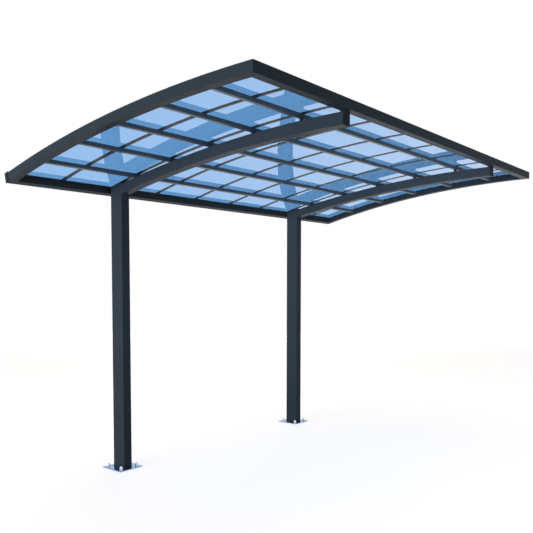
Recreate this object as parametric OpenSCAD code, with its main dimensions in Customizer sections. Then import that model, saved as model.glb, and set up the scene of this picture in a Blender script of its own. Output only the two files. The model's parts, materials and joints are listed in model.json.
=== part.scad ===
// Cantilever carport: two posts, two curved arms and an arched roof of nine panels.
// Millimetres. X runs outboard from the posts, Y along the roof, Z up.
// The origin is the middle of the near base plate's underside, on the ground.

/* [Roof] */
// length of the roof along Y
roof_length = 5400; // [3600:50:7200]
// radius of the roof's top edge
roof_radius = 12054; // [9000:10:16000]
// height of the roof's highest edge
roof_top = 3379; // [2600:5:4000]
// distance from the posts' middle to the roof's high edge
high_edge_reach = 2830; // [2400:5:3400]
// distance from the posts' middle to the gutter's outer face
low_edge_reach = 221; // [180:1:400]

/* [Rails] */
// depth of the rails, square to the roof
rail_depth = 82; // [60:1:110]
// width of the rails
rail_width = 75; // [60:1:110]
// wall of the rails
rail_wall = 3; // [2:0.5:5]
// width of the ledge that carries the panels
ledge_width = 25; // [15:1:35]
// hairline gap of the mitred corners
mitre_gap = 0.2; // [0.1:0.1:1]
// end cap thickness
cap_thickness = 4; // [2:0.5:8]

/* [Gutter] */
// width of the gutter
gutter_width = 68; // [50:1:110]
// rise of the gutter's outer wall above the rails
gutter_rise = 11; // [5:1:30]
// wall of the gutter
gutter_wall = 3; // [2:0.5:5]
// width of the gutter's inner ledge, which carries the rafters' ends
seat_width = 52; // [20:1:60]

/* [Panels and rafters] */
// panel thickness
panel_thickness = 6; // [4:0.5:10]
// drop of the panels' top below the rails' top
panel_drop = 15; // [2:0.5:20]
// clearance around a panel's edge
panel_gap = 1; // [0.5:0.1:3]
// reach of the panels into the gutter
drip_reach = 25; // [10:1:40]
// distance from the roof's end to the middle of the first rafter
end_bay = 558; // [400:1:700]
// width of a rafter
rafter_width = 40; // [14:1:60]
// depth of a rafter under the panels
rafter_depth = 3; // [2:0.5:30]
// web of a rafter between two panels
rafter_web = 4; // [3:0.5:8]
// thickness of a rafter's top bead
bead_thickness = 3; // [2:0.5:5]

/* [Purlins] */
// width of a purlin
purlin_width = 30; // [26:1:60]
// depth of a purlin
purlin_depth = 37; // [22:1:50]
// wall of a purlin
purlin_wall = 2.5; // [2:0.5:4]
// distance from the gutter to the middle of the first purlin
purlin_low_margin = 453; // [200:1:600]
// distance from the high edge rail to the middle of the last purlin
purlin_high_margin = 402; // [200:1:600]

/* [Beams] */
// drop from the roof's highest edge to a beam's top at its high end
beam_drop = 92; // [80:1:140]
// distance from the roof's high edge to a beam's high end
beam_setback = 49; // [20:1:70]
// depth of a beam
beam_depth = 100; // [70:1:160]
// wall of a beam
beam_wall = 5; // [3:0.5:8]
// height of the spacer under the purlin nearest the gutter
spacer_height = 2; // [1:1:40]
// size of a spacer along the beam
spacer_length = 24; // [16:1:36]
// size of a spacer across the beam
spacer_width = 30; // [16:1:60]

/* [Posts] */
// distance between the posts' middles along Y
post_spacing = 3060; // [2000:10:4400]
// size of a post across the roof
post_depth = 175; // [120:1:220]
// size of a post along the roof, and width of the beams
post_width = 100; // [80:1:140]
// wall of a post
post_wall = 4; // [3:0.5:8]
// clearance between a post's top and the rafters
post_clearance = 17; // [5:1:30]

/* [Base plates] */
// side of a base plate
plate_side = 300; // [240:5:360]
// thickness of a base plate
plate_thickness = 10; // [8:1:25]
// spacing of the anchor holes
anchor_spacing = 210; // [190:5:300]
// radius of an anchor hole
anchor_radius = 9; // [6:0.5:12]

/* [Hidden] */
$fn = 720;

// colours of the working view
frame_grey = [0.16, 0.19, 0.21];
cap_grey = [0.08, 0.09, 0.11];
plate_grey = [0.72, 0.75, 0.78];
panel_blue = [0.36, 0.60, 0.86, 0.6];

// overlap that lets a cut run clear of a face
cut = 1;
// sides of a drawn anchor hole
hole_facets = 72;

// panel bays along the roof, and purlins across it
bay_count = 9;
purlin_count = 5;

// where the roof starts and ends along Y
roof_start = (post_spacing - roof_length) / 2;
roof_end = roof_start + roof_length;
// middles of the rafters, which part the roof between its two end bays evenly
bay = (roof_length - 2 * end_bay) / (bay_count - 2);
function rafter_line(i) = roof_start + end_bay + (i - 1) * bay;

// axis of the roof's arch
axis_z = roof_top - roof_radius;
// reach of the wedges that cut the mitres
mitre_size = 2 * rail_width;
// turn, in degrees, that goes with a length along the arch
function turn(length) = length / roof_radius * 180 / PI;

// radii of the layers of the roof, from the top down
panel_top = roof_radius - panel_drop;
panel_under = panel_top - panel_thickness;
rafter_under = panel_under - rafter_depth;
purlin_under = rafter_under - purlin_depth;
rail_under = roof_radius - rail_depth;
bead_top = panel_top + bead_thickness;

// turns of the edges across the roof, counted from the high edge
high_inner = turn(rail_width);
high_ledge = turn(rail_width - ledge_width);
gutter_outer = asin((high_edge_reach + low_edge_reach) / roof_radius);
gutter_inner = gutter_outer - turn(gutter_width);
panel_low = gutter_inner + turn(drip_reach);

// middles of the purlins, counted from the gutter
purlin_first = gutter_inner - turn(purlin_low_margin);
purlin_last = high_inner + turn(purlin_high_margin);
function purlin_turn(i) = purlin_first + (i - 1) * (purlin_last - purlin_first) / (purlin_count - 1);
function purlin_x(i) = high_edge_reach - purlin_under * sin(purlin_turn(i));
function purlin_z(i) = axis_z + purlin_under * cos(purlin_turn(i));

// a beam's top edge is an arc, level at its high end, that passes under the first purlin's spacer
beam_reach = high_edge_reach - beam_setback;
beam_top = roof_top - beam_drop;
beam_run = beam_reach - purlin_x(1);
beam_rise = beam_top - purlin_z(1) + spacer_height;
beam_radius = (beam_run * beam_run + beam_rise * beam_rise) / (2 * beam_rise);
beam_axis_z = beam_top - beam_radius;
beam_under = beam_radius - beam_depth;
// turn of a beam's underside where it meets the post
beam_low = asin((beam_reach - post_depth / 2) / beam_under);
// height at which the high edge rail rests on the beams
rail_seat_z = axis_z + rail_under * cos(high_inner);

// radius of the posts' sloping tops, inside the roof's layers
post_top = rafter_under - post_clearance;
// turns added so that a cut runs clear of a corner
turn_margin = 0.3;
corner_margin = 0.002;

// a piece of the roof's arch: radii, turns from the high edge, and range along Y
module arch_block(inner, outer, from, to, start, end) {
    arch(from, to) translate([inner, start]) square([outer - inner, end - start]);
}

// turns a profile, drawn as radius and Y, along the roof's arch
module arch(from, to) {
    translate([high_edge_reach, 0, axis_z])
        rotate([-90, 0, 0])
            rotate([0, 0, -90 - to])
                rotate_extrude(angle = to - from) children();
}

// a piece of the beams' arch, centred on Y: turns from the high end, radii and width
module beam_block(from, to, inner, outer, width) {
    translate([beam_reach, 0, beam_axis_z])
        rotate([-90, 0, 0])
            rotate([0, 0, -90 - to])
                rotate_extrude(angle = to - from)
                    translate([inner, -width / 2])
                        square([outer - inner, width]);
}

// post of box section, closed by a top that slopes with the roof
module post(middle) {
    color(frame_grey)
    difference() {
        post_column(middle, 0, 0, post_top);
        post_column(middle, post_wall, cut, post_top - post_wall);
    }
}

// upright block, drawn in from the post's faces by inset, run down by lower and cut off at a roof radius
module post_column(middle, inset, lower, radius) {
    half = post_depth / 2 - inset;
    width = post_width - 2 * inset;
    base = plate_thickness - lower;
    from = asin((high_edge_reach - half) / radius);
    to = asin((high_edge_reach + half) / radius);
    difference() {
        translate([-half, middle - width / 2, base])
            cube([2 * half, width, axis_z + radius * cos(from) - base]);
        arch_block(radius, radius + post_depth, from, to + turn_margin, middle - post_width, middle + post_width);
    }
}

// square base plate with four anchor holes
module base_plate(middle) {
    color(plate_grey)
    translate([0, middle, 0])
        difference() {
            translate([-plate_side / 2, -plate_side / 2, 0])
                cube([plate_side, plate_side, plate_thickness]);
            for (x = [-1, 1], y = [-1, 1])
                translate([x * anchor_spacing / 2, y * anchor_spacing / 2, -cut])
                    cylinder(r = anchor_radius, h = plate_thickness + 2 * cut, $fn = hole_facets);
        }
}

// curved arm of box section that carries the purlins and the high edge rail
module beam(middle) {
    seat = post_width / 2 - beam_wall;
    rail_inner = high_edge_reach - rail_width;
    seat_base = beam_top - beam_wall / 2;
    color(frame_grey)
    translate([0, middle, 0])
        difference() {
            union() {
                intersection() {
                    beam_block(0, beam_low + corner_margin, beam_under, beam_radius, post_width);
                    translate([post_depth / 2, -post_width, 0])
                        cube([beam_reach, 2 * post_width, roof_top]);
                }
                for (i = [1 : purlin_count])
                    spacer(i);
                translate([rail_inner, -seat, seat_base])
                    cube([beam_reach - rail_inner, 2 * seat, rail_seat_z - seat_base]);
            }
            beam_block(-turn_margin, beam_low + turn_margin, beam_under + beam_wall, beam_radius - beam_wall,
                       post_width - 2 * beam_wall);
        }
}

// block between the beam's top and a purlin
module spacer(i) {
    half = turn(spacer_length) / 2;
    run = beam_reach - purlin_x(i);
    beam_z = beam_axis_z + sqrt(beam_radius * beam_radius - run * run);
    drop = purlin_z(i) - beam_z + beam_wall / 2;
    arch_block(purlin_under - drop, purlin_under, purlin_turn(i) - half, purlin_turn(i) + half,
               -spacer_width / 2, spacer_width / 2);
}

// closed end of a beam and of its rail seat
module beam_cap(middle) {
    base = beam_top - beam_depth;
    color(cap_grey)
    translate([beam_reach, middle - post_width / 2, base])
        cube([cap_thickness, post_width, rail_seat_z - base]);
}

// arched end rail, mitred at the high edge
module end_rail(side) {
    start = side < 0 ? roof_start : roof_end - rail_width;
    ledge_start = side < 0 ? start + rail_width - ledge_width : start - cut;
    color(frame_grey)
    difference() {
        arch_block(rail_under, roof_radius, 0, gutter_inner, start, start + rail_width);
        arch_block(rail_under + rail_wall, panel_under - rail_wall, -turn_margin, gutter_inner + turn_margin,
                   start + rail_wall, start + rail_width - rail_wall);
        arch_block(panel_under, roof_radius + cut, -turn_margin, gutter_inner + turn_margin,
                   ledge_start, ledge_start + ledge_width + cut);
        mitre(side, -1);
    }
}

// wedge beyond the mitre of a roof corner: towards is 1 beside the high edge rail and -1 beside an end rail
module mitre(side, towards) {
    translate([high_edge_reach, side < 0 ? roof_start : roof_end, 0])
        mirror([0, side < 0 ? 0 : 1, 0])
            translate([0, towards * mitre_gap / 2, 0])
                linear_extrude(height = roof_top + cut)
                    polygon(towards * mitre_size * [[-1, 1], [-1, -1], [1, -1]]);
}

// straight rail along the high edge, mitred at both ends
module high_edge_rail() {
    wall = turn(rail_wall);
    color(frame_grey)
    difference() {
        arch_block(rail_under, roof_radius, 0, high_inner, roof_start, roof_end);
        arch_block(rail_under + rail_wall, panel_under - rail_wall, wall, high_inner - wall,
                   roof_start - cut, roof_end + cut);
        arch_block(panel_under, roof_radius + cut, high_ledge, high_inner + turn_margin,
                   roof_start - cut, roof_end + cut);
        for (side = [-1, 1])
            mitre(side, 1);
    }
}

// open gutter along the low edge: a lower inner wall under the panels, with a ledge under the rafters' ends
module gutter() {
    wall = turn(gutter_wall);
    start = roof_start + cap_thickness;
    end = roof_end - cap_thickness;
    rim = roof_radius + gutter_rise;
    seat = gutter_inner - turn(seat_width);
    clear = seat - turn_margin;
    color(frame_grey)
    difference() {
        arch_block(rail_under, rim, seat, gutter_outer, start, end);
        // the trough
        arch_block(rail_under + gutter_wall, rim + cut, gutter_inner + wall, gutter_outer - wall,
                   start - cut, end + cut);
        // room for the panels, for the rafters' ends, and under the ledge
        arch_block(panel_under, rim + cut, clear, gutter_inner + 2 * wall, start - cut, end + cut);
        arch_block(rafter_under, rim + cut, clear, gutter_inner, start - cut, end + cut);
        arch_block(rail_under - cut, rafter_under - gutter_wall, clear, gutter_inner, start - cut, end + cut);
        // room for the end rails
        for (rail = [roof_start, roof_end - rail_width])
            arch_block(rail_under - cut, rim + cut, clear, gutter_inner, rail, rail + rail_width);
    }
}

// closed end of the gutter
module gutter_cap(start) {
    color(cap_grey)
    arch_block(rail_under, roof_radius + gutter_rise, gutter_inner, gutter_outer, start, start + cap_thickness);
}

// straight box purlin between the end rails
module purlin(i) {
    middle = purlin_turn(i);
    half = turn(purlin_width) / 2;
    wall = turn(purlin_wall);
    color(frame_grey)
    difference() {
        arch_block(purlin_under, rafter_under, middle - half, middle + half,
                   roof_start + rail_width, roof_end - rail_width);
        arch_block(purlin_under + purlin_wall, rafter_under - purlin_wall,
                   middle - half + wall, middle + half - wall,
                   roof_start + rail_width - cut, roof_end - rail_width + cut);
    }
}

// curved rafter that holds the edges of two panels
module rafter(i) {
    color(frame_grey)
    arch(high_inner, gutter_inner)
        translate([0, rafter_line(i)])
            union() {
                translate([rafter_under, -rafter_width / 2])
                    square([rafter_depth, rafter_width]);
                translate([rafter_under, -rafter_web / 2])
                    square([bead_top - rafter_under, rafter_web]);
                translate([panel_top, -rafter_width / 2])
                    square([bead_thickness, rafter_width]);
            }
}

// curved translucent panel of one bay
module panel(i) {
    edge = rafter_web / 2 + panel_gap;
    rail_edge = rail_width - ledge_width + panel_gap;
    start = i == 1 ? roof_start + rail_edge : rafter_line(i - 1) + edge;
    end = i == bay_count ? roof_end - rail_edge : rafter_line(i) - edge;
    color(panel_blue)
    arch_block(panel_under, panel_top, high_ledge + turn(panel_gap), panel_low, start, end);
}

post(0);  // near_post
post(post_spacing);  // far_post
base_plate(0);  // near_base_plate
base_plate(post_spacing);  // far_base_plate
beam(0);  // near_beam
beam(post_spacing);  // far_beam
beam_cap(0);  // near_beam_cap
beam_cap(post_spacing);  // far_beam_cap
end_rail(-1);  // near_end_rail
end_rail(1);  // far_end_rail
high_edge_rail();
gutter();
gutter_cap(roof_start);  // near_gutter_cap
gutter_cap(roof_end - cap_thickness);  // far_gutter_cap
purlin(1);  // purlin_1
purlin(2);  // purlin_2
purlin(3);  // purlin_3
purlin(4);  // purlin_4
purlin(5);  // purlin_5
rafter(1);  // rafter_1
rafter(2);  // rafter_2
rafter(3);  // rafter_3
rafter(4);  // rafter_4
rafter(5);  // rafter_5
rafter(6);  // rafter_6
rafter(7);  // rafter_7
rafter(8);  // rafter_8
panel(1);  // panel_1
panel(2);  // panel_2
panel(3);  // panel_3
panel(4);  // panel_4
panel(5);  // panel_5
panel(6);  // panel_6
panel(7);  // panel_7
panel(8);  // panel_8
panel(9);  // panel_9
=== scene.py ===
"""Looks of the cantilever carport: finishes, fasteners, seals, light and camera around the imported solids."""
import json
import math

import bmesh
import bpy
from mathutils import Matrix, Vector


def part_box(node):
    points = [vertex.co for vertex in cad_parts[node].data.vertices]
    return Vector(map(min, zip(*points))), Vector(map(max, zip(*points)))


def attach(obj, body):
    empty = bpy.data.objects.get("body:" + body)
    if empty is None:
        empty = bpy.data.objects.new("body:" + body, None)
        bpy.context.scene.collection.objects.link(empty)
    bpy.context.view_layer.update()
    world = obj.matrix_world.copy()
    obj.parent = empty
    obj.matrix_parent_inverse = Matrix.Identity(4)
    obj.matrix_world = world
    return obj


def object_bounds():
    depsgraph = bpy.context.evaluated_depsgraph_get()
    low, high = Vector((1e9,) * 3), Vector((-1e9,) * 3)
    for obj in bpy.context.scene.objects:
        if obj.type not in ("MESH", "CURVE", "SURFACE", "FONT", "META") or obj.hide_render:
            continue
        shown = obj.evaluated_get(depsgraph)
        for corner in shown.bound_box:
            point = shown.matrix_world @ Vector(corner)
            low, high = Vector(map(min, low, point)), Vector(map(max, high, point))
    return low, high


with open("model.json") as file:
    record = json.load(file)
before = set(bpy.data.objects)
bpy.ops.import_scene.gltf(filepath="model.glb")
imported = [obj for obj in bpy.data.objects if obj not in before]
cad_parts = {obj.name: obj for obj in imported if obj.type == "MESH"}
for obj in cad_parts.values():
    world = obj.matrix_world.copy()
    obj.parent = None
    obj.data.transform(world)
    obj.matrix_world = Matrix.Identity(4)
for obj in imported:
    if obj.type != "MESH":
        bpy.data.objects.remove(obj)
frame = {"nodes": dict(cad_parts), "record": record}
cad_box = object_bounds()

# Body that every piece rides on
BODY = "root"


# Names of the nodes by finish


def numbered_nodes(stem):
    """Names of the nodes that share a stem and differ in their number."""
    return sorted(name for name in frame["nodes"] if name.startswith(stem))


SIDES = ("near", "far")
PLAIN_FRAME = ["near_post", "far_post", "near_beam", "far_beam", "near_end_rail", "far_end_rail", "gutter"]
HIGH_RAIL = "high_edge_rail"
PURLINS = numbered_nodes("purlin_")
RAFTERS = numbered_nodes("rafter_")
PANELS = numbered_nodes("panel_")
CAPS = ["near_beam_cap", "far_beam_cap", "near_gutter_cap", "far_gutter_cap"]
PLATES = ["near_base_plate", "far_base_plate"]

# The roof's arch in metres, as the solids have it
ROOF_RADIUS = 12.054
PANEL_DROP = 0.015
BEAD_HEIGHT = 0.003
HIGH_EDGE_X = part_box("high_edge_rail")[1].x
ARCH_AXIS_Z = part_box("high_edge_rail")[1].z - ROOF_RADIUS
PANEL_TOP = ROOF_RADIUS - PANEL_DROP
BEAD_TOP = PANEL_TOP + BEAD_HEIGHT


# Shader helpers


# Range that most of a noise's values fall in
NOISE_LOW = 0.3
NOISE_HIGH = 0.7
# How far a rounded edge's direction agrees with the face's: wholly on flat faces, and less on a full edge
FLAT_AGREEMENT = 1.0
EDGE_AGREEMENT = 0.8


def new_material(name):
    """A node material; returns it with its tree and its Principled shader."""
    material = bpy.data.materials.new(name)
    material.use_nodes = True
    tree = material.node_tree
    return material, tree, tree.nodes["Principled BSDF"]


def add_node(tree, kind, **inputs):
    """A node of that kind with its named inputs set."""
    node = tree.nodes.new(kind)
    for name, value in inputs.items():
        node.inputs[name.replace("_", " ")].default_value = value
    return node


def noise(tree, scale, detail):
    """Noise over the object's own place, with scale counted per metre."""
    place = add_node(tree, "ShaderNodeTexCoord")
    node = add_node(tree, "ShaderNodeTexNoise", Scale=scale, Detail=detail)
    tree.links.new(place.outputs["Object"], node.inputs["Vector"])
    return node.outputs["Fac"]


def spread(tree, source, low, high):
    """Maps noise onto the range from low to high."""
    node = add_node(tree, "ShaderNodeMapRange", From_Min=NOISE_LOW, From_Max=NOISE_HIGH,
                    To_Min=low, To_Max=high)
    tree.links.new(source, node.inputs["Value"])
    return node.outputs["Result"]


def blend_colours(tree, factor, first, second):
    """Colour that goes from first to second with the factor; each is a colour or another node's output."""
    node = tree.nodes.new("ShaderNodeMix")
    node.data_type = "RGBA"
    colour_a, colour_b = [socket for socket in node.inputs if socket.type == "RGBA"]
    for socket, value in ((colour_a, first), (colour_b, second)):
        if isinstance(value, bpy.types.NodeSocket):
            tree.links.new(value, socket)
        else:
            socket.default_value = (*value, 1)
    tree.links.new(factor, node.inputs["Factor"])
    return next(socket for socket in node.outputs if socket.type == "RGBA")


def edge_share(tree, radius):
    """About 1 on the edges that lie within radius of the point, and 0 on flat faces."""
    bevel = add_node(tree, "ShaderNodeBevel", Radius=radius)
    geometry = tree.nodes.new("ShaderNodeNewGeometry")
    dot = tree.nodes.new("ShaderNodeVectorMath")
    dot.operation = "DOT_PRODUCT"
    tree.links.new(bevel.outputs["Normal"], dot.inputs[0])
    tree.links.new(geometry.outputs["Normal"], dot.inputs[1])
    reach = add_node(tree, "ShaderNodeMapRange", From_Min=FLAT_AGREEMENT, From_Max=EDGE_AGREEMENT)
    tree.links.new(dot.outputs["Value"], reach.inputs["Value"])
    return reach.outputs["Result"]


def paint(tree, shader, shades, scale, detail):
    """Gives the shader a colour that drifts between two shades."""
    colour = blend_colours(tree, noise(tree, scale, detail), *shades)
    tree.links.new(colour, shader.inputs["Base Color"])


def roughen(tree, shader, low, high, scale, detail):
    """Gives the shader a roughness that drifts between two values."""
    tree.links.new(spread(tree, noise(tree, scale, detail), low, high), shader.inputs["Roughness"])


def add_grain(tree, shader, scale, detail, depth, strength, rounding=0.0):
    """Gives the shader a fine relief, and rounds the edges of what it covers by a radius."""
    bump = add_node(tree, "ShaderNodeBump", Strength=strength, Distance=depth)
    tree.links.new(noise(tree, scale, detail), bump.inputs["Height"])
    if rounding:
        bevel = add_node(tree, "ShaderNodeBevel", Radius=rounding)
        tree.links.new(bevel.outputs["Normal"], bump.inputs["Normal"])
    tree.links.new(bump.outputs["Normal"], shader.inputs["Normal"])


# Materials


# Darker and paler shade of each finish
ANTHRACITE = ((0.0245, 0.0355, 0.0485), (0.0325, 0.0445, 0.0580))
RAFTER_GREY = ((0.0330, 0.0430, 0.0540), (0.0420, 0.0540, 0.0660))
# Purlins: the frame's anthracite painted paler and bluer, as painted light for the blue light falling on them
# through the panels
PURLIN_PAINTED_LIGHT = ((0.0625, 0.0890, 0.1210), (0.0750, 0.1025, 0.1365))
CAP_BLACK = ((0.021, 0.028, 0.037), (0.028, 0.037, 0.047))
# Base plates: bright zinc whose blue is a painted reflection of a blue sky, not a colour of the zinc
ZINC_PAINTED_SKY = ((0.20, 0.36, 0.62), (0.26, 0.43, 0.70))
STEEL_WHITE = ((0.80, 0.81, 0.82), (0.88, 0.88, 0.89))
RUBBER_BLACK = ((0.008, 0.008, 0.009), (0.018, 0.018, 0.019))
PANEL_BLUE = ((0.158, 0.412, 0.810), (0.172, 0.434, 0.836))

# Edges of the powder coat, and how far from an edge they show, in metres
COAT_EDGE = (0.042, 0.060, 0.075)
COAT_EDGE_REACH = 0.002

# Shine of the finishes, as the shader's specular level
MATT = 0.006
SATIN = 0.03
HALF_GLOSS = 0.16
GLOSS = 0.42
CAP_SHINE = 0.005
RUBBER_SHINE = 0.2

# Crystals of the zinc per metre, and the panels' refraction
SPANGLE_SCALE = 70.0
PANEL_REFRACTION = 1.5


def powder_coat(name, shades, shine):
    """Powder coat between two shades: a fine orange peel, faint cloudiness and slightly paler edges."""
    material, tree, shader = new_material(name)
    cloudy = blend_colours(tree, noise(tree, scale=2.5, detail=3), *shades)
    edged = blend_colours(tree, edge_share(tree, COAT_EDGE_REACH), cloudy, COAT_EDGE)
    tree.links.new(edged, shader.inputs["Base Color"])
    roughen(tree, shader, low=0.30, high=0.40, scale=11, detail=4)
    shader.inputs["Specular IOR Level"].default_value = shine
    add_grain(tree, shader, scale=420, detail=1, depth=0.0002, strength=0.12, rounding=0.0015)
    return material


def cap_plastic():
    """Dark matt plastic of the end caps, with a fine moulded grain."""
    material, tree, shader = new_material("dark_cap_plastic")
    paint(tree, shader, CAP_BLACK, scale=6, detail=3)
    roughen(tree, shader, low=0.50, high=0.62, scale=40, detail=2)
    shader.inputs["Specular IOR Level"].default_value = CAP_SHINE
    add_grain(tree, shader, scale=900, detail=1, depth=0.0003, strength=0.2, rounding=0.001)
    return material


def zinc_with_painted_sky():
    """Bright zinc of the base plates with a faint crystal spangle; its blue is a painted reflection of a blue
    sky.
    """
    material, tree, shader = new_material("zinc_plate_painted_sky_blue")
    place = add_node(tree, "ShaderNodeTexCoord")
    spangle = add_node(tree, "ShaderNodeTexVoronoi", Scale=SPANGLE_SCALE)
    tree.links.new(place.outputs["Object"], spangle.inputs["Vector"])
    crystal = tree.nodes.new("ShaderNodeSeparateColor")
    tree.links.new(spangle.outputs["Color"], crystal.inputs["Color"])
    colour = blend_colours(tree, crystal.outputs["Red"], *ZINC_PAINTED_SKY)
    tree.links.new(colour, shader.inputs["Base Color"])
    roughness = spread(tree, crystal.outputs["Green"], low=0.16, high=0.26)
    tree.links.new(roughness, shader.inputs["Roughness"])
    shader.inputs["Metallic"].default_value = 1.0
    add_grain(tree, shader, scale=160, detail=2, depth=0.0002, strength=0.08, rounding=0.001)
    return material


def bright_steel():
    """Polished stainless steel of the nuts, washers and screws, with fine turning marks."""
    material, tree, shader = new_material("bright_stainless_steel")
    paint(tree, shader, STEEL_WHITE, scale=120, detail=2)
    roughen(tree, shader, low=0.28, high=0.38, scale=300, detail=2)
    shader.inputs["Metallic"].default_value = 1.0
    add_grain(tree, shader, scale=1500, detail=1, depth=0.0001, strength=0.1)
    return material


def rubber():
    """Black rubber of the glazing seals, a little chalky."""
    material, tree, shader = new_material("black_seal_rubber")
    paint(tree, shader, RUBBER_BLACK, scale=25, detail=3)
    roughen(tree, shader, low=0.60, high=0.75, scale=60, detail=2)
    shader.inputs["Specular IOR Level"].default_value = RUBBER_SHINE
    add_grain(tree, shader, scale=800, detail=1, depth=0.0002, strength=0.2)
    return material


def blue_polycarbonate():
    """Clear blue glossy sheet, tinted through, with a trace of waviness from the extruder."""
    material, tree, shader = new_material("blue_polycarbonate")
    paint(tree, shader, PANEL_BLUE, scale=1.2, detail=3)
    roughen(tree, shader, low=0.0, high=0.003, scale=5, detail=3)
    shader.inputs["IOR"].default_value = PANEL_REFRACTION
    shader.inputs["Transmission Weight"].default_value = 1.0
    add_grain(tree, shader, scale=3, detail=1, depth=0.0006, strength=0.002)
    return material


# Finishes of the solids


# Faces whose outward direction has a lower Z than this look down
LOOKS_DOWN = -0.9


def dress(names, material):
    """Puts the material on the CAD nodes of those names."""
    for name in names:
        mesh = frame["nodes"][name].data
        mesh.materials.clear()
        mesh.materials.append(material)


def dress_underside(names, material):
    """Puts the material on those faces of the CAD nodes that look down."""
    for name in names:
        node = frame["nodes"][name]
        node.data.materials.append(material)
        rotation = node.matrix_world.to_3x3()
        for face in node.data.polygons:
            if (rotation @ face.normal).z < LOOKS_DOWN:
                face.material_index = len(node.data.materials) - 1


def dress_solids(coat):
    """Gives every CAD node its finish; the coat is that of the plain frame."""
    dress(PLAIN_FRAME, coat)
    dress([HIGH_RAIL], powder_coat("matt_powder_coat", ANTHRACITE, MATT))
    dress_underside([HIGH_RAIL], coat)
    # Purlins take the anthracite coat painted paler and bluer, painted light from the blue panels above;
    # glossier on their undersides
    dress(PURLINS, powder_coat("purlin_painted_light_coat", PURLIN_PAINTED_LIGHT, SATIN))
    dress_underside(PURLINS, powder_coat("gloss_purlin_painted_light_coat", PURLIN_PAINTED_LIGHT, GLOSS))
    dress(RAFTERS, powder_coat("gloss_powder_coat", RAFTER_GREY, HALF_GLOSS))
    dress(CAPS, cap_plastic())
    dress(PLATES, zinc_with_painted_sky())
    dress(PANELS, blue_polycarbonate())


# Mesh helpers


# Edges that turn by more than this many degrees stay sharp
SHARP_ANGLE = 35


def new_piece(name, mesh_builder, material):
    """A smooth-shaded piece made by a function that fills a bmesh; it rides on the carport."""
    shape = bmesh.new()
    mesh_builder(shape)
    bmesh.ops.recalc_face_normals(shape, faces=shape.faces)
    mesh = bpy.data.meshes.new(name)
    shape.to_mesh(mesh)
    shape.free()
    mesh.materials.append(material)
    mesh.shade_smooth()
    mesh.set_sharp_from_angle(angle=math.radians(SHARP_ANGLE))
    piece = bpy.data.objects.new(name, mesh)
    bpy.context.scene.collection.objects.link(piece)
    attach(piece, BODY)


def join_rings(shape, rings):
    """Faces between neighbouring rings of vertices, which all have the same count."""
    for lower, upper in zip(rings, rings[1:]):
        count = len(lower)
        for k in range(count):
            after = (k + 1) % count
            shape.faces.new((lower[k], lower[after], upper[after], upper[k]))


def close_rings(shape, rings):
    """A closed form through the rings, with a face on its first and its last one."""
    join_rings(shape, rings)
    shape.faces.new(rings[0])
    shape.faces.new(rings[-1])


def turned(shape, placing, profile, sides):
    """A closed turned form of radii and heights; a radius may be a function of the side's number."""
    rings = []
    for radius, height in profile:
        ring = []
        for k in range(sides):
            angle = 2 * math.pi * k / sides
            reach = radius(k) if callable(radius) else radius
            point = Vector((reach * math.cos(angle), reach * math.sin(angle), height))
            ring.append(shape.verts.new(placing @ point))
        rings.append(ring)
    close_rings(shape, rings)


def upright(place, up):
    """Placing of a form drawn along Z so that it stands on a point and looks along a direction."""
    return Matrix.Translation(place) @ up.to_track_quat("Z", "Y").to_matrix().to_4x4()


def roof_point(radius, turn, y):
    """Point of the roof at that radius, turn from the high edge, and place along Y."""
    return Vector((HIGH_EDGE_X - radius * math.sin(turn), y, ARCH_AXIS_Z + radius * math.cos(turn)))


def roof_normal(turn):
    """Outward direction of the roof at that turn."""
    return Vector((-math.sin(turn), 0, math.cos(turn)))


def roof_turn(x, radius):
    """Turn from the high edge of a point of the roof at that X."""
    return math.asin((HIGH_EDGE_X - x) / radius)


# Fasteners


# Washer and dome nut in metres, and the sides and steps that they are drawn with
WASHER_RADIUS = 0.020
WASHER_HEIGHT = 0.003
WASHER_EDGE = 0.0006
NUT_FLATS = 0.030
NUT_HEIGHT = 0.016
NUT_CHAMFER = 0.0015
DOME_RADIUS = 0.0135
DOME_STRAIGHT = 0.007
DOME_STEPS = 8
NUT_SIDES = 36

# Turn between neighbouring corners of a hexagon, and the record's millimetres in a metre
HEXAGON_TURN = math.pi / 3
MM_PER_M = 1000

# Screw head in metres, and its profile from the rim to the socket as shares of its radius and height
SCREW_RADIUS = 0.0055
SCREW_HEIGHT = 0.0032
SCREW_PROFILE = ((1, 0), (1, 0.3), (0.93, 0.6), (0.75, 0.88), (0.55, 1), (0.45, 1), (0.4275, 0.3))
SCREW_SIDES = 12

# Places of the screws in the end caps: share of a beam cap's height in from its lower and upper edge,
# and share of a gutter cap's width to either side of its middle
BEAM_CAP_SCREW = 0.28
GUTTER_CAP_SCREW = 0.25


def dome_nut(shape, place):
    """Washer and hexagon dome nut standing on a base plate."""
    placing = upright(place, Vector((0, 0, 1)))
    inner = WASHER_RADIUS - WASHER_EDGE
    base = WASHER_HEIGHT
    washer = [(inner, 0), (WASHER_RADIUS, WASHER_EDGE), (WASHER_RADIUS, base - WASHER_EDGE), (inner, base)]
    turned(shape, placing, washer, NUT_SIDES)
    flat = NUT_FLATS / 2

    def hexagon(k):
        step = 2 * math.pi / NUT_SIDES * k % HEXAGON_TURN
        return flat / math.cos(step - HEXAGON_TURN / 2)

    top = base + NUT_HEIGHT
    dome = top + DOME_STRAIGHT
    nut = [(flat, base), (hexagon, base + NUT_CHAMFER), (hexagon, top - NUT_CHAMFER), (flat, top),
           (DOME_RADIUS, top), (DOME_RADIUS, dome)]
    for i in range(1, DOME_STEPS):
        angle = math.pi / 2 * i / DOME_STEPS
        nut.append((DOME_RADIUS * math.cos(angle), dome + DOME_RADIUS * math.sin(angle)))
    turned(shape, placing, nut, NUT_SIDES)


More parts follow.
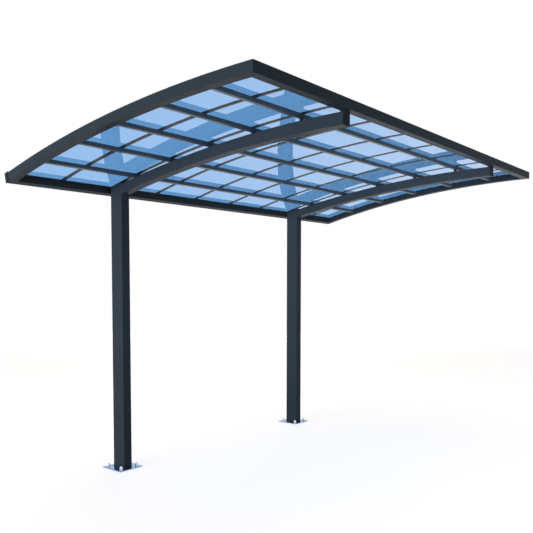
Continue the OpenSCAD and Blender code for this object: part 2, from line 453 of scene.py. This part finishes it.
def add_anchors(material):
    """A dome nut on each anchor hole of the base plates."""
    mounts = {mount["name"]: mount for mount in frame["record"]["mounts"]}
    for side in SIDES:
        low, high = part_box(f"{side}_base_plate")
        middle = (low + high) / 2
        pattern = mounts[f"{side}_anchors"]["dims"]
        half_x = pattern["spacing_x_mm"] / 2 / MM_PER_M
        half_y = pattern["spacing_y_mm"] / 2 / MM_PER_M
        corners = [(x, y) for x in (-half_x, half_x) for y in (-half_y, half_y)]
        for number, (x, y) in enumerate(corners, 1):
            place = Vector((middle.x + x, middle.y + y, high.z))
            new_piece(f"{side}_anchor_nut_{number}", lambda shape: dome_nut(shape, place), material)


def screw_head(shape, place, up):
    """Domed screw head with a round socket."""
    profile = [(SCREW_RADIUS * radius, SCREW_HEIGHT * height) for radius, height in SCREW_PROFILE]
    turned(shape, upright(place, up), profile, SCREW_SIDES)


def add_bead_screws(material):
    """Screws along each rafter's top bead, one over each purlin."""
    for rafter in RAFTERS:
        low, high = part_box(rafter)
        line = (low.y + high.y) / 2

        def row(shape):
            for purlin in PURLINS:
                purlin_low, purlin_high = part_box(purlin)
                turn = roof_turn((purlin_low.x + purlin_high.x) / 2, BEAD_TOP)
                screw_head(shape, roof_point(BEAD_TOP, turn, line), roof_normal(turn))

        new_piece(f"{rafter}_screws", row, material)


def add_cap_screws(material):
    """Two screws in each end cap: one above the other on the beams, and side by side on the gutter."""
    for side, out in zip(SIDES, (-1, 1)):
        beam_low, beam_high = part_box(f"{side}_beam_cap")
        beam_middle = (beam_low + beam_high) / 2

        def beam_pair(shape):
            for share in (BEAM_CAP_SCREW, 1 - BEAM_CAP_SCREW):
                z = beam_low.z + share * (beam_high.z - beam_low.z)
                screw_head(shape, Vector((beam_high.x, beam_middle.y, z)), Vector((1, 0, 0)))

        new_piece(f"{side}_beam_cap_screws", beam_pair, material)
        gutter_low, gutter_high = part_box(f"{side}_gutter_cap")
        gutter_middle = (gutter_low + gutter_high) / 2
        face = gutter_low.y if out < 0 else gutter_high.y

        def gutter_pair(shape):
            for share in (-GUTTER_CAP_SCREW, GUTTER_CAP_SCREW):
                x = gutter_middle.x + share * (gutter_high.x - gutter_low.x)
                screw_head(shape, Vector((x, face, gutter_middle.z)), Vector((0, out, 0)))

        new_piece(f"{side}_gutter_cap_screws", gutter_pair, material)


# Seals and welds


# Seal lip in metres, its profile as shares of its width and height, and the steps along a rafter
SEAL_WIDTH = 0.004
SEAL_HEIGHT = 0.0025
SEAL_PROFILE = ((0, 0), (1, 0), (0.85, 0.5), (0.45, 0.9), (0, 1))
SEAL_STEPS = 60

# Weld in metres: its leg, the height and pitch of its scales, and the step that it is drawn with;
# its profile is in shares of the leg
WELD_LEG = 0.006
WELD_RIPPLE = 0.0006
WELD_PITCH = 0.004
WELD_STEP = 0.001
WELD_PROFILE = ((0, 0), (1, 0), (0.62, 0.42), (0.3, 0.75), (0, 1))


def seal_lip(shape, edge, out, from_turn, to_turn):
    """Rounded rubber lip along a bead's edge, lying on the panel."""
    rings = []
    for i in range(SEAL_STEPS + 1):
        turn = from_turn + (to_turn - from_turn) * i / SEAL_STEPS
        points = [roof_point(PANEL_TOP + SEAL_HEIGHT * height, turn, edge + out * SEAL_WIDTH * width)
                  for width, height in SEAL_PROFILE]
        rings.append([shape.verts.new(point) for point in points])
    close_rings(shape, rings)


def add_seals(material):
    """Rubber lips on both sides of each rafter's bead."""
    for rafter in RAFTERS:
        low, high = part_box(rafter)
        from_turn = roof_turn(high.x, PANEL_TOP)
        to_turn = roof_turn(low.x, PANEL_TOP)

        def pair(shape):
            seal_lip(shape, low.y, -1, from_turn, to_turn)
            seal_lip(shape, high.y, 1, from_turn, to_turn)

        new_piece(f"{rafter}_seals", pair, material)


def weld_bead(shape, low, high, z):
    """Fillet weld around a post's foot, with the fine scales that the torch leaves."""
    feet = ((high.x, low.y), (high.x, high.y), (low.x, high.y), (low.x, low.y))
    corners = [Vector((x, y, z)) for x, y in feet]
    middle = (low + high) / 2
    up = Vector((0, 0, 1))
    rings = []
    run = 0.0
    for corner, after in zip(corners, corners[1:] + corners[:1]):
        along = (after - corner).normalized()
        out = along.cross(up)
        length = (after - corner).length
        count = round(length / WELD_STEP)
        for i in range(count):
            place = corner + along * (length * i / count)
            aim = out
            if i == 0:
                outward = corner - middle
                aim = Vector((math.copysign(1, outward.x), math.copysign(1, outward.y), 0))
            leg = WELD_LEG + WELD_RIPPLE * math.sin(2 * math.pi * run / WELD_PITCH)
            rings.append([shape.verts.new(place + aim * (leg * width) + up * (leg * height))
                          for width, height in WELD_PROFILE])
            run += length / count
    join_rings(shape, rings + rings[:1])


def add_welds(material):
    """The weld between each post and its base plate."""
    for side in SIDES:
        low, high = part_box(f"{side}_post")
        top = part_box(f"{side}_base_plate")[1].z
        new_piece(f"{side}_post_weld", lambda shape: weld_bead(shape, low, high, top), material)


# Light, floor and camera


WHITE = (1, 1, 1, 1)

# Floor: half its side in metres, its colour and roughness, and its lift towards white where it is seen
FLOOR_HALF = 16
FLOOR_COLOUR = (0.62, 0.57, 0.54, 1)
FLOOR_ROUGHNESS = 0.9
FLOOR_LIFT = 0.79

# Sky that lights the carport
SKY_COLOUR = (0.93, 0.97, 1.0, 1)
SKY_STRENGTH = 0.15

# Angle in degrees over which a lamp that isn't narrowed shines
WIDE_BEAM = 180

# The photograph's camera: place in metres, angles in degrees, lens and optical centre in pixels
CAMERA_PLACE = (5.5259, -4.3454, 1.9567)
CAMERA_YAW = 40.228
CAMERA_DIP = 3.035
FOCAL_PIXELS = 648.67
OPTICAL_CENTRE = (254.16, 319.24)
IMAGE_SIDE = 533

# Tilt in degrees of a level camera, the picture's middle as a share of its side,
# the sensor's width in millimetres, and how far the camera sees in metres
LEVEL_TILT = 90
IMAGE_MIDDLE = 0.5
SENSOR_WIDTH = 36
CLIP_END = 500


def seen_directly(tree):
    """1 for rays of the camera, of mirrors and of glass, and 0 for the light that falls on things."""
    path = tree.nodes.new("ShaderNodeLightPath")
    total = path.outputs["Is Camera Ray"]
    for name in ("Is Glossy Ray", "Is Transmission Ray"):
        larger = tree.nodes.new("ShaderNodeMath")
        larger.operation = "MAXIMUM"
        tree.links.new(total, larger.inputs[0])
        tree.links.new(path.outputs[name], larger.inputs[1])
        total = larger.outputs["Value"]
    return total


def make_world():
    """Soft even sky light; the background itself is plain white."""
    world = bpy.data.worlds.new("studio")
    bpy.context.scene.world = world
    world.use_nodes = True
    tree = world.node_tree
    tree.nodes.clear()
    soft = add_node(tree, "ShaderNodeBackground", Color=SKY_COLOUR, Strength=SKY_STRENGTH)
    white = add_node(tree, "ShaderNodeBackground", Color=WHITE, Strength=1.0)
    choice = tree.nodes.new("ShaderNodeMixShader")
    tree.links.new(seen_directly(tree), choice.inputs["Fac"])
    tree.links.new(soft.outputs["Background"], choice.inputs[1])
    tree.links.new(white.outputs["Background"], choice.inputs[2])
    out = tree.nodes.new("ShaderNodeOutputWorld")
    tree.links.new(choice.outputs["Shader"], out.inputs["Surface"])


def make_floor():
    """Pale floor under the base plates that keeps the object's shadow and reads as white."""
    mesh = bpy.data.meshes.new("floor")
    half = FLOOR_HALF
    corners = [(-half, -half, 0), (half, -half, 0), (half, half, 0), (-half, half, 0)]
    mesh.from_pydata(corners, [], [(0, 1, 2, 3)])
    floor = bpy.data.objects.new("floor", mesh)
    bpy.context.scene.collection.objects.link(floor)
    material, tree, shader = new_material("pale_floor")
    shader.inputs["Base Color"].default_value = FLOOR_COLOUR
    shader.inputs["Roughness"].default_value = FLOOR_ROUGHNESS
    shader.inputs["Specular IOR Level"].default_value = 0.0
    shader.inputs["Emission Color"].default_value = WHITE
    lift = tree.nodes.new("ShaderNodeMath")
    lift.operation = "MULTIPLY"
    lift.inputs[1].default_value = FLOOR_LIFT
    tree.links.new(seen_directly(tree), lift.inputs[0])
    tree.links.new(lift.outputs["Value"], shader.inputs["Emission Strength"])
    mesh.materials.append(material)


def add_lamp(name, place, target, size, power, beam=WIDE_BEAM):
    """Soft lamp turned towards a target, with its width and height; mirrors and glass don't show it."""
    lamp = bpy.data.lights.new(name, "AREA")
    lamp.shape = "RECTANGLE"
    lamp.size, lamp.size_y = size
    lamp.energy = power
    lamp.spread = math.radians(beam)
    holder = bpy.data.objects.new(name, lamp)
    holder.location = place
    holder.rotation_euler = (Vector(target) - Vector(place)).to_track_quat("-Z", "Y").to_euler()
    holder.visible_glossy = False
    holder.visible_transmission = False
    bpy.context.scene.collection.objects.link(holder)


def add_lights():
    """Key light from the near end, fill from the open side, top and back light, and a low narrow lamp."""
    middle = (Vector(cad_box[0]) + Vector(cad_box[1])) / 2
    add_lamp("key", place=(-1.5, -20.0, 1.6), target=(1.3, 1.5, 2.3), size=(18, 4), power=4200)
    add_lamp("fill", place=(13.0, 2.0, 1.3), target=(1.0, 2.0, 2.9), size=(10, 2.2), power=340)
    add_lamp("top", place=(1.0, 1.5, 9.0), target=middle, size=(8, 8), power=200)
    add_lamp("back", place=(-18.0, 22.0, 4.0), target=(0.5, 1.5, 1.8), size=(16, 5), power=2800)
    add_lamp("low", place=(3.6, -3.0, 0.3), target=(1.3, 4.2, 3.1), size=(3, 0.4), power=26, beam=50)


def make_camera():
    """Camera at the photograph's place and lens."""
    camera = bpy.data.cameras.new("photo_camera")
    camera.sensor_width = SENSOR_WIDTH
    camera.lens = FOCAL_PIXELS / IMAGE_SIDE * SENSOR_WIDTH
    camera.shift_x = IMAGE_MIDDLE - OPTICAL_CENTRE[0] / IMAGE_SIDE
    camera.shift_y = OPTICAL_CENTRE[1] / IMAGE_SIDE - IMAGE_MIDDLE
    camera.clip_end = CLIP_END
    holder = bpy.data.objects.new("photo_camera", camera)
    holder.location = CAMERA_PLACE
    holder.rotation_euler = (math.radians(LEVEL_TILT - CAMERA_DIP), 0, math.radians(CAMERA_YAW))
    bpy.context.scene.collection.objects.link(holder)
    bpy.context.scene.camera = holder


def main():
    """Dresses the solids, adds the small pieces and sets the stage."""
    coat = powder_coat("anthracite_powder_coat", ANTHRACITE, SATIN)
    steel = bright_steel()
    dress_solids(coat)
    add_anchors(steel)
    add_bead_screws(steel)
    add_cap_screws(coat)
    add_seals(rubber())
    add_welds(coat)
    make_world()
    make_floor()
    add_lights()
    make_camera()
    bpy.context.scene.view_settings.view_transform = "Standard"


main()
